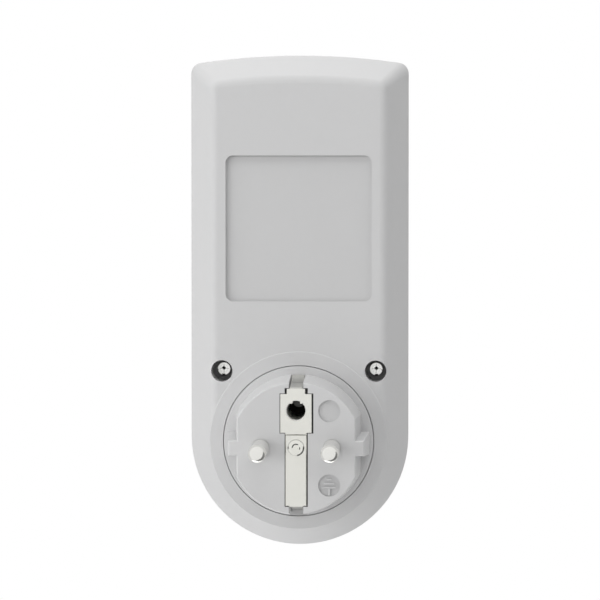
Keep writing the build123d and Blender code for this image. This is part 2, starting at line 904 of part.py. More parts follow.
def make_socket_cup():
    outer = cup_radius + cup_wall
    profile = [
        (0, floor_back), (outer, floor_back), (outer, inner_front + cup_flange_thickness),
        (outer + cup_flange, inner_front + cup_flange_thickness), (outer + cup_flange, inner_front),
        (outer, inner_front), (outer, cup_rim), (cup_radius, cup_rim), (cup_radius - cup_taper, floor_front),
        (0, floor_front),
    ]
    cup = revolve(Plane.XZ * make_face(Polyline(*profile, close=True)), Axis.Z)
    cup = fillet(edges_at(cup, cup_rim), cup_lip)
    cup = Pos(0, end_centre, 0) * cup
    for at in (live_hole, neutral_hole):
        cup -= rod(socket_hole, floor_front - 1, floor_back + 1, at)
        cup -= Pos(at[0], at[1], floor_front) * Cone(
            socket_hole + socket_countersink, socket_hole, socket_countersink, align=standing
        )
    cup -= rod(pin_shank + pin_fit, floor_front - 1, floor_back + 1, earth_pin_at)
    cup -= rod(pin_radius + pin_fit, floor_front - 1, floor_front + 2 * pin_shoulder, earth_pin_at)
    rail_x = shutter_half + shutter_gap + rail_thickness / 2
    rail_high = end_centre + shutter_above + rail_thickness
    for side in (-1, 1):
        cup += slab(
            rail_thickness, rail_high - spring_seat, floor_back, carrier_front,
            (side * rail_x, (rail_high + spring_seat) / 2),
        )
    seat_width = 2 * (shutter_half + shutter_gap + rail_thickness)
    cup += slab(
        seat_width, rail_thickness, floor_back, carrier_front, (0, spring_seat - rail_thickness / 2)
    )
    cup += spring_spigot(spring_seat, 1)
    for at in carrier_screw_places:
        cup += rod(carrier_post, floor_back, carrier_front, at)
        cup -= rod(pilot_radius, carrier_front - board_screw_grip, carrier_front + 1, at)
    return cup + [rod(press_radius, floor_back, plug_back, at) for at in press_posts]


spring_z = shutter_front + shutter_thickness / 2


def spring_spigot(y, way):
    """A stub that centres an end of the spring, standing up (1) or hanging down (-1) at y."""
    middle = Pos(0, y + way * spigot_height / 2, spring_z)
    return middle * Rot(90, 0, 0) * Cylinder(spigot_radius, spigot_height)


def make_socket_earth_pin():
    tip = floor_front - earth_pin_reach
    pin = rod(pin_radius, tip, floor_front + pin_shoulder, earth_pin_at)
    pin = fillet(edges_at(pin, tip), pin_tip)
    pin += rod(pin_shank, floor_front + pin_shoulder, carrier_front, earth_pin_at)
    return pin + rod(tail_radius, carrier_front, bar_high, earth_pin_at)


def make_shutter():
    """The child shutter: a bar with a ramp behind each pin hole, which a pin pushes downwards."""
    low = end_centre - shutter_below
    high = end_centre + shutter_above
    at = (0, (high + low) / 2)
    bar = slab(2 * shutter_half, high - low, shutter_front, shutter_back, at, shutter_corner)
    for x, y in (live_hole, neutral_hole):
        ramp = [
            (y - ramp_lead, shutter_front), (high + 1, shutter_front), (high + 1, shutter_back - ramp_root)
        ]
        bar -= bar_in_view(ramp, ramp_width, x)
    return bar + spring_spigot(low, -1)


def make_shutter_spring():
    bottom = spring_seat + spring_wire + spring_gap
    top = end_centre - shutter_below - spring_wire - spring_gap
    height = top - bottom
    coil = Helix(pitch=height / spring_turns, height=height, radius=spring_radius)
    section = Plane(origin=coil @ 0, z_dir=coil % 0) * RegularPolygon(spring_wire, 6)
    spring = sweep(section, path=coil, is_frenet=True)
    return Pos(0, bottom, spring_z) * Rot(-90, 0, 0) * spring


def make_contact_carrier():
    """The plate behind the shutter, with a cradle round each contact clip."""
    plate = rod(carrier_radius, carrier_front, carrier_back, cup_at)
    outer = 2 * cradle_half
    inner = outer - 2 * cradle_wall
    top = carrier_back + cradle_depth
    for at in (live_hole, neutral_hole):
        plate += slab(outer, outer, carrier_back, top, at, cradle_corner)
        plate -= slab(inner, inner, carrier_back, top + 1, at)
        plate -= rod(socket_hole, carrier_front - 1, carrier_back + 1, at)
    plate -= rod(tail_radius + pin_fit, carrier_front - 1, carrier_back + 1, earth_pin_at)
    plate -= [rod(press_radius + close_gap, carrier_front - 1, carrier_back + 1, at) for at in press_posts]
    return plate - [rod(board_hole, carrier_front - 1, carrier_back + 1, at) for at in carrier_screw_places]


def make_carrier_screws():
    tip = carrier_front - board_screw_grip + board_screw_room
    screws = []
    for at in carrier_screw_places:
        head = rod(board_screw_head, carrier_back, carrier_back + board_screw_height, at)
        screws.append(head + rod(board_screw_radius, tip, carrier_back, at))
    return Compound(children=screws)


def make_clip(at, rivet=None):
    """A rolled contact clip, open on its outer side; one that is riveted to a pin has a base."""
    outer = clip_bore + clip_sheet
    clip = tube(outer, clip_bore, carrier_back + close_gap, base_low, at)
    way = 1 if at[0] > 0 else -1
    clip -= slab(outer, clip_slot, carrier_back, base_low + 1, (at[0] + way * outer, at[1]))
    if rivet:
        clip += slab(2 * outer, 2 * outer, base_low, base_high, at, base_corner)
        clip -= rod(tail_radius + pin_fit, base_low - 1, base_high + 1, rivet)
    return clip


def make_bar(at, tab, low, eye_bore):
    """A flat busbar from its eye up to the tab that is soldered into the power board."""
    high = low + bar_thickness
    bar = rod(bar_eye, low, high, at)
    bar += slab(bar_width, tab[1] - at[1], low, high, (at[0], (tab[1] + at[1]) / 2))
    bar += slab(bar_width, tab_thickness, power_front - tab_reach, high, tab)
    return bar - rod(eye_bore, low - 1, high + 1, at) if eye_bore else bar


def make_earth_bar():
    bottom = strap_screw_place[1] - earth_bar_end
    top = earth_pin_at[1] + earth_bar_end
    bar = slab(earth_bar_width, top - bottom, bar_low, bar_high, (0, (top + bottom) / 2), base_corner)
    bar -= rod(strap_screw_radius + pin_fit, bar_low - 1, bar_high + 1, strap_screw_place)
    return bar - rod(tail_radius + pin_fit, bar_low - 1, bar_high + 1, earth_pin_at)


pieces = {
    "rear_shell": make_rear_shell(),
    "front_shell": make_front_shell(),
    "plug_body": make_plug_body(),
    "live_pin": make_pin(live_at, bar_low - rivet_height),
    "neutral_pin": make_pin(neutral_at, base_low),
    "earth_plate": make_earth_plate(),
    "earth_strap": make_earth_strap(),
    "earth_sleeve": make_earth_sleeve(),
    "strap_screw": make_strap_screw(),
    "housing_screws": make_housing_screws(),
    "lcd_window": make_lcd_window(),
    "lcd_panel": make_lcd_panel(),
    "lcd_frame": make_lcd_frame(),
    "lcd_contact_strips": make_contact_strips(),
    "reset_key": make_reset_key(),
    "keypad": make_keypad(),
    "control_board": make_board(
        control_width, control_bottom, control_top, control_front, control_posts
    ),
    "control_board_screws": make_board_screws(control_posts, control_back, 1),
    "control_chip": make_control_chip(),
    "crystal": make_crystal(),
    "backup_battery": make_backup_battery(),
    "board_link": make_board_link(),
    "power_board": make_board(
        power_width, power_bottom, power_top, power_front, power_posts, (live_tab, load_tab, neutral_tab),
    ),
    "power_board_screws": make_board_screws(power_posts, power_front, -1),
    "relay": make_relay(),
    "film_capacitor": board_case(film_size, 0, film_at),
    "electrolytic_capacitor": make_electrolytic(),
    "varistor": make_varistor(),
    "diodes": make_diodes(),
    "dropper_resistor": make_lying_part(resistor_radius, resistor_length, resistor_at),
    "socket_cup": make_socket_cup(),
    "socket_earth_pin": make_socket_earth_pin(),
    "shutter": make_shutter(),
    "shutter_spring": make_shutter_spring(),
    "contact_carrier": make_contact_carrier(),
    "carrier_screws": make_carrier_screws(),
    "live_clip": make_clip(live_hole),
    "neutral_clip": make_clip(neutral_hole, neutral_at),
    "live_busbar": make_bar(live_at, live_tab, bar_low, tail_radius + pin_fit),
    "neutral_busbar": make_bar(neutral_at, neutral_tab, bar_low, tail_radius + pin_fit),
    "load_busbar": make_bar(live_hole, load_tab, base_low, 0),
    "earth_bar": make_earth_bar(),
}
for y, names in zip(key_rows, key_names):
    for x, name in zip(key_columns, names):
        pieces[name] = make_key((x, y))

os.makedirs("parts", exist_ok=True)
for name, piece in pieces.items():
    export_step(stand_up(piece), f"parts/{name}.step")
print(len(pieces), "pieces written")
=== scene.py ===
import math

import bmesh
import bpy
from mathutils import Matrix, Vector
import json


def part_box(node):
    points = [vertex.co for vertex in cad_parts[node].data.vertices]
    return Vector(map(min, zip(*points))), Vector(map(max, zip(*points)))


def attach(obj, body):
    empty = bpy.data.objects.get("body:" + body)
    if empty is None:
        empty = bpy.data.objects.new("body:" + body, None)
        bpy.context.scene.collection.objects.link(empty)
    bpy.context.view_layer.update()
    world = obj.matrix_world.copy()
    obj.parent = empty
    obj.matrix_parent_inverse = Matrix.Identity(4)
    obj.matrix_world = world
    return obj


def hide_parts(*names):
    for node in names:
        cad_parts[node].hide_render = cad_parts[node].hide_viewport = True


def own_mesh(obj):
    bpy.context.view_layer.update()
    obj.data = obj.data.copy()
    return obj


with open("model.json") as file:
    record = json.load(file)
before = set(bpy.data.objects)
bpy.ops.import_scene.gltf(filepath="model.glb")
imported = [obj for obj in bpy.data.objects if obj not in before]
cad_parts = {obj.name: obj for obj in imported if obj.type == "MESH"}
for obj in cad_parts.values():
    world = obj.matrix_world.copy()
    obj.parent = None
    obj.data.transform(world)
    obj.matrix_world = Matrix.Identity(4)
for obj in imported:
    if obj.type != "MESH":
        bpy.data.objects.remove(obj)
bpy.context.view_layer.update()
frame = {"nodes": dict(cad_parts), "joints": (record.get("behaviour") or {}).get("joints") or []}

nodes = frame["nodes"]
mm = 0.001


def deselectAll():
    if bpy.context.object and bpy.context.object.mode != "OBJECT":
        bpy.ops.object.mode_set(mode="OBJECT")
    bpy.ops.object.select_all(action="DESELECT")


# Camera

view = {
    "target": (-1.072, 0.0, 39.502),    # mm, on the plane of the plug's face
    "distance": 962.8,                  # mm
    "turn": 2.14,                       # degrees to the viewer's left
    "rise": 2.23,                       # degrees above the pins
    "focalPixels": 3623.6,
    "framePixels": 600,
    "sensor": 36.0,                     # mm
    "clipStart": 10.0,                  # mm
}


def makeCamera():
    turn = math.radians(view["turn"])
    rise = math.radians(view["rise"])
    back = Vector((-math.sin(turn) * math.cos(rise), math.cos(turn) * math.cos(rise), math.sin(rise)))
    bpy.ops.object.camera_add()
    camera = bpy.context.object
    camera.location = (Vector(view["target"]) + back * view["distance"]) * mm
    camera.rotation_mode = "QUATERNION"
    camera.rotation_quaternion = (-back).to_track_quat("-Z", "Y")
    camera.data.sensor_width = view["sensor"]
    camera.data.lens = view["focalPixels"] / view["framePixels"] * view["sensor"]
    camera.data.clip_start = view["clipStart"] * mm
    bpy.context.scene.camera = camera


deselectAll()
makeCamera()
bpy.context.scene.view_settings.view_transform = "Standard"
print("camera placed")


# Shader maths: a wire is one node's output, and sums on wires write their own Math nodes

class Wire:
    def __init__(self, finish, socket):
        self.finish = finish
        self.socket = socket

    def join(self, operation, first, second):
        return self.finish.node("Math", {"operation": operation}, {0: first, 1: second})

    def __add__(self, other):
        return self.join("ADD", self, other)

    def __radd__(self, other):
        return self.join("ADD", other, self)

    def __sub__(self, other):
        return self.join("SUBTRACT", self, other)

    def __rsub__(self, other):
        return self.join("SUBTRACT", other, self)

    def __mul__(self, other):
        return self.join("MULTIPLY", self, other)

    def __rmul__(self, other):
        return self.join("MULTIPLY", other, self)

    def __gt__(self, other):
        return self.join("GREATER_THAN", self, other)

    def __lt__(self, other):
        return self.join("LESS_THAN", self, other)


class Finish:
    def __init__(self, block):
        block.use_nodes = True
        self.block = block
        self.tree = block.node_tree

    def node(self, kind, settings=None, sockets=None, output=0):
        made = self.tree.nodes.new("ShaderNode" + kind)
        for key, value in (settings or {}).items():
            setattr(made, key, value)
        for key, value in (sockets or {}).items():
            self.feed(made.inputs[key], value)
        return Wire(self, made.outputs[output])

    def feed(self, socket, value):
        if isinstance(value, Wire):
            self.tree.links.new(value.socket, socket)
        else:
            socket.default_value = value

    def set(self, **values):
        shader = self.tree.nodes["Principled BSDF"]
        for key, value in values.items():
            self.feed(shader.inputs[spaced(key)], value)

    def place(self, stretch=(1, 1, 1), turn=(0, 0, 0)):
        coordinates = self.node("TexCoord", output="Object")
        return self.node("Mapping", {}, {"Vector": coordinates, "Scale": stretch, "Rotation": turn})

    def noise(self, scale, detail=2.0, rough=0.5, stretch=(1, 1, 1)):
        sockets = {"Vector": self.place(stretch), "Scale": scale, "Detail": detail, "Roughness": rough}
        return self.node("TexNoise", {}, sockets)

    def blend(self, amount, first, second):    # Mix: factor is input 0, colours 6 and 7, result is output 2
        return self.node("Mix", {"data_type": "RGBA"}, {0: amount, 6: first, 7: second}, 2)

    def axes(self):    # the surface's own x, y and z, in metres
        split = self.node("SeparateXYZ", {}, {"Vector": self.node("TexCoord", output="Object")})
        return [Wire(self, socket) for socket in split.socket.node.outputs]

    def absolute(self, value):
        return self.node("Math", {"operation": "ABSOLUTE"}, {0: value})

    def root(self, value):
        return self.node("Math", {"operation": "SQRT"}, {0: value})

    def darken(self, colour, amount):
        return self.blend(amount, colour, (0.0, 0.0, 0.0, 1.0))

    def relief(self, height, depth):
        return self.node("Bump", {}, {"Height": height, "Distance": depth, "Strength": 1.0})


def spaced(key):    # baseColor becomes Base Color
    words = "".join(" " + letter if letter.isupper() else letter for letter in key)
    return words.title().replace("Ior", "IOR")


def shade(colour, factor=1.0):
    return tuple(channel * factor for channel in colour) + (1.0,)


def newFinish(name):
    return Finish(bpy.data.materials.new(name))


# Painted shade: a patch is a box or a disc across the back view, between two depths, in mm,
# where the colour is darkened to stand for shade in recesses, gaps, the earth hole, the end grooves and on
# the contact legs.
# Its tone is what is left of the colour there; a second tone is the one at its front.

patches = {
    # painted shade: the label recess floor, and a painted shadow line along its upper edge
    "labelFloor": {"centre": (0, 58.15), "half": (19.82, 19.77), "depth": (-19.9, -18.9), "tone": (0.955,)},
    "labelUpperEdge": {"centre": (0, 77.70), "half": (19.3, 0.24), "depth": (-19.9, -19.3), "tone": (0.84,)},
    # painted shadow: the strap's pocket and the gap beside the plate, near black
    "strapPocket": {"centre": (0, 0.2), "half": (5.0, 16.2), "depth": (-1.15, -0.14), "tone": (0.05,)},
    # painted shade: the earth bore and its far end, near black
    "earthBore": {"centre": (0, 10.0), "radius": 3.3, "depth": (-21.4, -0.9), "tone": (0.14,)},
    "boreEnd": {"centre": (0, 11.0), "radius": 4.0, "depth": (-21.9, -20.5), "tone": (0.07,)},
    # painted shade: the floors of the two sunk discs
    "upperDisc": {"centre": (-8.85, 9.9), "radius": 2.96, "depth": (-0.75, -0.50), "tone": (0.915,)},
    "lowerDisc": {"centre": (-8.85, -9.9), "radius": 2.96, "depth": (-0.75, -0.50), "tone": (0.90,)},
    # painted shade: the lower end groove, and the metal legs in both end grooves, darkest at the crease
    "lowerGroove": {"centre": (0, -19.2), "half": (2.4, 1.6), "depth": (-18.4, -17.9), "tone": (0.72,)},
    "upperLegRear": {"centre": (0, 17.8), "half": (1.9, 2.0), "depth": (-18.3, -9.7), "tone": (1.0, 0.50)},
    "upperLegCrease": {"centre": (0, 17.8), "half": (1.9, 2.0), "depth": (-9.7, -8.5), "tone": (0.45,)},
    "upperLegFront": {"centre": (0, 17.8), "half": (1.9, 2.0), "depth": (-8.5, -1.3), "tone": (0.58, 0.72)},
    "lowerLeg": {"centre": (0, -17.8), "half": (1.9, 2.0), "depth": (-19.0, -1.3), "tone": (0.85,)},
}


def inPatch(made, patch):
    x, y, z = made.axes()
    across = x - patch["centre"][0] * mm
    up = z - patch["centre"][1] * mm
    low, high = patch["depth"]
    inside = (y > low * mm) * (y < high * mm)
    if "radius" in patch:
        return inside * (across * across + up * up < (patch["radius"] * mm) ** 2)
    width, height = patch["half"]
    return inside * (made.absolute(across) < width * mm) * (made.absolute(up) < height * mm)


def paintShadePatches(made, colour, names):
    for name in names:
        patch = patches[name]
        rear, front = patch["tone"][0], patch["tone"][-1]
        low, high = patch["depth"]
        dark = 1 - rear
        if front != rear:
            slope = (rear - front) / ((high - low) * mm)
            dark = dark + slope * (made.axes()[1] - low * mm)
        # painted shade: the colour is darkened inside each patch, evenly or along its depth
        colour = made.darken(colour, inPatch(made, patch) * dark)
    return colour


# Moulded plastic: fine spark-eroded grain with coarser speckles, faint flow shading
# and a roughness that drifts, with painted shade in the places it is given

plasticGrain = {
    "fineScale": 5200.0, "coarser": 9, "speckleMix": 0.25, "speckleTone": 0.93, "speckleRise": 0.6,
    "depth": 0.000012, "flowScale": 26.0, "flowStretch": (1.0, 1.0, 0.35), "flow": 0.02, "drift": 0.10,
}


def mouldedPlastic(name, colour, roughness, grain=1.0, shaded=()):
    made = newFinish(name)
    flow = made.noise(plasticGrain["flowScale"], 3.0, 0.6, plasticGrain["flowStretch"])
    fine = made.noise(plasticGrain["fineScale"], 2.0, 0.55)
    speckle = made.noise(plasticGrain["fineScale"] / plasticGrain["coarser"])
    dark = shade(colour, 1 - plasticGrain["flow"])
    light = shade(colour, 1 + plasticGrain["flow"])
    speckled = shade(colour, plasticGrain["speckleTone"])
    tone = made.blend(speckle * plasticGrain["speckleMix"], made.blend(flow, dark, light), speckled)
    made.set(
        baseColor=paintShadePatches(made, tone, shaded),
        roughness=roughness - plasticGrain["drift"] / 2 + flow * plasticGrain["drift"],
        normal=made.relief(fine + speckle * plasticGrain["speckleRise"], plasticGrain["depth"] * grain),
    )
    return made.block


# Screw heads: painted shade, where the turned rings, the slots and the hole between them would lie dark, in
# mm.
# A ring is inner and outer radius, the side it faces (x, z), the cosine that it opens to, and its tone.
# Slots are half width, length and tone; the hole is shift x and z, radius and tone.
# Twin heads stand to the left and right, and carry the same painted shade.

housingHead = {
    "twin": True, "place": (20.86, 19.55), "slots": (0.16, 1.35, 0.80), "hole": (0.05, 0.16, 0.50, 0.02),
    "rings": [
        (0.98, 1.10, 0, 1, -1.1, 0.86),
        (1.42, 1.95, 0.05, -1, 0.965, 0.04),
        (1.45, 1.95, 0.97, -0.20, 0.985, 0.30),
    ],
}

strapHead = {
    "twin": False, "place": (0.0, 0.15),
    "rings": [
        (0.82, 1.12, 0.45, 0.90, 0.45, 0.12),
        (0.85, 1.15, -1, -0.15, 0.95, 0.30),
        (1.84, 2.30, -0.82, -0.57, 0.70, 0.18),
        (1.95, 2.30, 1, 0, 0.985, 0.10),
        (2.08, 2.30, 0, 1, -1.1, 0.62),
    ],
}

holeCut = {"diamond": 1.25, "circle": 1.4}    # the hole is a diamond cut by a circle, as shares of its radius


# painted shade in the cross recess and the hole at the head's middle
def paintRecessShade(made, colour, head, across, up, reach):
    width, length, tone = head["slots"]
    slots = (made.absolute(across) < width * mm) + (made.absolute(up) < width * mm) > 0.5
    colour = made.darken(colour, slots * (reach < length * mm) * (1 - tone))
    shiftX, shiftZ, radius, tone = head["hole"]
    across = across - shiftX * mm
    up = up - shiftZ * mm
    diamond = made.absolute(across) + made.absolute(up) < radius * holeCut["diamond"] * mm
    circle = reach < radius * holeCut["circle"] * mm
    return made.darken(colour, diamond * circle * (1 - tone))


# painted shade and painted shadow: dark arcs on the head's rings and rim
def paintHeadShade(made, colour, head):
    x, y, z = made.axes()
    across = (made.absolute(x) if head["twin"] else x) - head["place"][0] * mm
    up = z - head["place"][1] * mm
    reach = made.root(across * across + up * up)
    if "slots" in head:
        colour = paintRecessShade(made, colour, head, across, up, reach)
    for inner, outer, sideX, sideZ, cosine, tone in head["rings"]:
        ring = (reach > inner * mm) * (reach < outer * mm)
        facing = across * sideX + up * sideZ > reach * cosine
        colour = made.darken(colour, ring * facing * (1 - tone))
    return colour


# Bright plated metal: drawn streaks along one axis and faint handling marks, with painted shade in the places
# and on the screw head it is given

plating = {
    "streakScale": 9000.0, "cloudScale": 420.0, "cloudMix": 0.5, "bright": 1.02, "dull": 0.95,
    "streakDrift": 0.06, "cloudDrift": 0.05, "cloudRise": 0.4, "depth": 0.000004,
}

drawn = {    # scale of the streaks along x, y and z: the less, the longer
    "even": (1.0, 1.0, 1.0), "strip": (1.0, 1.0, 0.06), "screw": (1.0, 0.3, 1.0), "pin": (1.0, 0.05, 1.0),
}


def platedMetal(name, colour, roughness, along="strip", grain=1.0, metallic=1.0, shaded=(), head=None):
    made = newFinish(name)
    streaks = made.noise(plating["streakScale"], 3.0, 0.6, drawn[along])
    cloud = made.noise(plating["cloudScale"], 3.0, 0.6)
    bright = shade(colour, plating["bright"])
    dull = shade(colour, plating["dull"])
    tone = made.blend(cloud * plating["cloudMix"], bright, dull)
    # painted shade on the screw head
    if head:
        tone = paintHeadShade(made, tone, head)
    made.set(
        baseColor=paintShadePatches(made, tone, shaded),
        metallic=metallic,
        roughness=roughness + streaks * plating["streakDrift"] + cloud * plating["cloudDrift"],
        normal=made.relief(streaks + cloud * plating["cloudRise"], plating["depth"] * grain),
    )
    return made.block


# Window and display

windowGrade = {"tint": (0.97, 0.98, 0.98), "hazeScale": 900.0, "roughness": 0.02, "haze": 0.03, "index": 1.49}

displayGrade = {
    "dark": (0.36, 0.40, 0.33), "light": (0.42, 0.46, 0.39),
    "washScale": 60.0, "weaveScale": 4200.0, "roughness": 0.24, "weave": 0.08,
}


def clearWindow(name):
    made = newFinish(name)
    haze = made.noise(windowGrade["hazeScale"], 3.0, 0.6)
    made.set(
        baseColor=shade(windowGrade["tint"]),
        roughness=windowGrade["roughness"] + haze * windowGrade["haze"],
        transmissionWeight=1.0,
        ior=windowGrade["index"],
    )
    return made.block


def displayGlass(name):
    made = newFinish(name)
    wash = made.noise(displayGrade["washScale"])
    weave = made.noise(displayGrade["weaveScale"], 1.0)
    made.set(
        baseColor=made.blend(wash, shade(displayGrade["dark"]), shade(displayGrade["light"])),
        roughness=displayGrade["roughness"] + weave * displayGrade["weave"],
    )
    return made.block


# Boards: green laminate with a brick pattern of tracks

laminate = {
    "track": (0.03, 0.15, 0.07), "otherTrack": (0.02, 0.12, 0.05), "betweenTracks": (0.06, 0.26, 0.12),
    "trackScale": 90.0, "gap": 0.09, "weaveScale": 420.0, "distortion": 1.2,
    "roughness": 0.32, "weave": 0.1, "coat": 0.4,
}


def printedBoard(name):
    made = newFinish(name)
    weave = made.node(
        "TexWave", {"bands_direction": "X"},
        {"Vector": made.place(), "Scale": laminate["weaveScale"], "Distortion": laminate["distortion"]},
    )
    tracks = made.node(
        "TexBrick", {}, {
            "Vector": made.place(turn=(math.pi / 2, 0, 0)), "Scale": laminate["trackScale"],
            "Mortar Size": laminate["gap"], "Color1": shade(laminate["track"]),
            "Color2": shade(laminate["otherTrack"]), "Mortar": shade(laminate["betweenTracks"]),
        },
    )
    roughness = laminate["roughness"] + weave * laminate["weave"]
    made.set(baseColor=tracks, roughness=roughness, coatWeight=laminate["coat"])
    return made.block


# Rubber and cast resin: a cloudy colour and a soft relief

rubberCast = {
    "scale": 240.0, "detail": 4.0, "rough": 0.65, "tones": (0.9, 1.08), "drift": 0.2, "depth": 0.00001,
}
resinCast = {
    "scale": 380.0, "detail": 3.0, "rough": 0.6, "tones": (0.88, 1.12), "drift": 0.12, "depth": 0.000015,
}


def castMaterial(name, colour, roughness, cast):
    made = newFinish(name)
    swirl = made.noise(cast["scale"], cast["detail"], cast["rough"])
    dark, light = cast["tones"]
    made.set(
        baseColor=made.blend(swirl, shade(colour, dark), shade(colour, light)),
        roughness=roughness + swirl * cast["drift"],
        normal=made.relief(swirl, cast["depth"]),
    )
    return made.block


# painted shade on the insert and on the contact legs, from the patches above
insertPaintedShade = ("upperDisc", "lowerDisc", "strapPocket", "earthBore", "lowerGroove")
legPaintedShade = ("upperLegRear", "upperLegCrease", "upperLegFront", "lowerLeg")

finishes = {
    "housing": mouldedPlastic(
        "greyHousing", (0.62, 0.62, 0.622), 0.50, shaded=("labelFloor", "labelUpperEdge")
    ),
    "insert": mouldedPlastic("greyInsert", (0.63, 0.63, 0.632), 0.46, 0.8, insertPaintedShade),
    "nickel": platedMetal("nickelPlate", (0.89, 0.885, 0.83), 0.19, metallic=0.95, shaded=legPaintedShade),
    # painted shade: the sleeve is a duller, less metallic copy of the nickel, to look shaded in the earth
    # hole
    "sleeve": platedMetal("shadedSleeve", (0.85, 0.85, 0.82), 0.25, metallic=0.3),
    # painted shade: the earth bar is near black for the deep shade behind the hole, not bare metal
    "earthBar": platedMetal("shadedBar", (0.025, 0.024, 0.02), 0.5),
    "strapScrew": platedMetal("nickelScrew", (0.90, 0.895, 0.84), 0.18, metallic=0.95, head=strapHead),
    # painted shade at the far end of the earth bore
    "pinNickel": platedMetal(
        "nickelPins", (0.87, 0.865, 0.83), 0.12, "pin", metallic=0.75, shaded=("boreEnd",)
    ),
    "screw": platedMetal("zincScrews", (0.72, 0.72, 0.69), 0.26, "screw", 2.5),
    "housingScrew": platedMetal("zincHousingScrews", (1.0, 1.0, 0.97), 0.20, "screw", head=housingHead),
    "brass": platedMetal("stampedBrass", (0.74, 0.53, 0.25), 0.26),
    "spring": platedMetal("springWire", (0.56, 0.56, 0.56), 0.28, "even"),
    "window": clearWindow("clearWindow"),
    "display": displayGlass("displayGlass"),
    "keys": mouldedPlastic("slateKeys", (0.15, 0.165, 0.19), 0.42, 0.8),
    "keyPrint": mouldedPlastic("keyPrint", (0.74, 0.75, 0.76), 0.5, 0.3),
    "windowPrint": mouldedPlastic("windowPrint", (0.055, 0.06, 0.07), 0.35, 0.3),
    "segment": mouldedPlastic("displaySegments", (0.030, 0.036, 0.034), 0.45, 0.2),
    "rubber": castMaterial("siliconeMat", (0.40, 0.41, 0.42), 0.62, rubberCast),
    "board": printedBoard("boardLaminate"),
    "black": castMaterial("blackCase", (0.025, 0.025, 0.028), 0.36, resinCast),
    "yellow": castMaterial("yellowCase", (0.70, 0.46, 0.03), 0.34, resinCast),
    "blue": castMaterial("blueDip", (0.02, 0.09, 0.30), 0.30, resinCast),
    "can": platedMetal("componentCan", (0.62, 0.62, 0.63), 0.30, "even"),
    "inner": mouldedPlastic("offWhiteInner", (0.66, 0.65, 0.58), 0.52),
}

dressing = {
    "housing": ["rear_shell", "front_shell", "socket_cup"],
    "insert": ["plug_body"],
    "nickel": ["earth_plate", "earth_strap"],
    "sleeve": ["earth_sleeve"],
    "strapScrew": ["strap_screw"],
    "earthBar": ["earth_bar"],
    "pinNickel": ["live_pin", "neutral_pin", "socket_earth_pin"],
    "screw": ["control_board_screws", "power_board_screws", "carrier_screws"],
    "housingScrew": ["housing_screws"],
    "brass": ["live_clip", "neutral_clip", "live_busbar", "neutral_busbar", "load_busbar"],
    "spring": ["shutter_spring"],
    "window": ["lcd_window"],
    "display": ["lcd_panel"],
    "keys": ["key_minute", "key_hour", "key_day", "key_mode", "key_clock", "key_program", "reset_key"],
    "rubber": ["keypad", "lcd_contact_strips"],
    "board": ["control_board", "power_board"],
    "black": ["control_chip", "relay", "diodes", "board_link", "electrolytic_capacitor"],
    "yellow": ["film_capacitor"],
    "blue": ["varistor", "dropper_resistor"],
    "can": ["crystal", "backup_battery"],
    "inner": ["lcd_frame", "shutter", "contact_carrier"],
}


def dressNodes():
    for finish, names in dressing.items():
        for name in names:
            slots = nodes[name].data.materials
            slots.clear()
            slots.append(finishes[finish])


dressNodes()
print("materials on", sum(map(len, dressing.values())), "frame nodes")


# Modelling helpers. Lengths and shifts are in mm, turns in degrees about y.

flatWork = {
    "middle": 0.001,       # corners this near a stroke's middle stay where they are
    "arcStep": 9,          # degrees
    "weld": 0.001,
    "edgeSegments": 2,
    "smooth": 20,          # degrees
}


def takeUp(piece):    # selects it alone and makes it active
    deselectAll()
    piece.select_set(True)
    bpy.context.view_layer.objects.active = piece


def startEditing(piece):
    takeUp(piece)
    bpy.ops.object.mode_set(mode="EDIT")


def pick(piece, kind, test):    # selects vertices or faces in edit mode, by their place or normal
    bpy.ops.mesh.select_mode(type="VERT" if kind == "verts" else "FACE")
    bpy.ops.mesh.select_all(action="DESELECT")
    mesh = bmesh.from_edit_mesh(piece.data)
    for item in getattr(mesh, kind):
        item.select_set(bool(test(item)))
    mesh.select_flush_mode()
    bmesh.update_edit_mesh(piece.data)


def moveBy(piece, shift, turn=0.0):    # turns, then shifts, and leaves both in the mesh
    takeUp(piece)
    piece.rotation_euler = (0.0, math.radians(turn), 0.0)
    piece.location = Vector(shift) * mm
    bpy.ops.object.transform_apply()


def copyOf(piece, shift):    # with a mesh of its own
    takeUp(piece)
    bpy.ops.object.duplicate()
    copied = bpy.context.object
    moveBy(copied, shift)
    return copied


def setOut(piece, shifts):    # the piece itself goes to the first place, and copies of it to the rest
    copies = [copyOf(piece, shift) for shift in shifts[1:]]
    moveBy(piece, shifts[0])
    return [piece] + copies


def joinAll(pieces, name):
    deselectAll()
    for piece in pieces:
        piece.select_set(True)
    bpy.context.view_layer.objects.active = pieces[0]
    bpy.ops.object.join()
    joined = bpy.context.object
    joined.name = name
    joined.data.name = name
    return joined


def flatStrokes(length, width, turn, places, corners=12):    # alike, with round ends, or pointed with 6
    deselectAll()
    bpy.ops.mesh.primitive_circle_add(
        vertices=corners, radius=width / 2 * mm, fill_type="NGON", rotation=(math.pi / 2, 0, 0)
    )
    stroke = bpy.context.object
    bpy.ops.object.transform_apply()
    startEditing(stroke)
    for side in (1, -1):
        pick(stroke, "verts", lambda corner: corner.co.z * side > flatWork["middle"] * mm)
        bpy.ops.transform.translate(value=(0, 0, side * (length - width) / 2 * mm))
    bpy.ops.object.mode_set(mode="OBJECT")
    moveBy(stroke, (0, 0, 0), turn)
    return setOut(stroke, [(across, 0, up) for across, up in places])


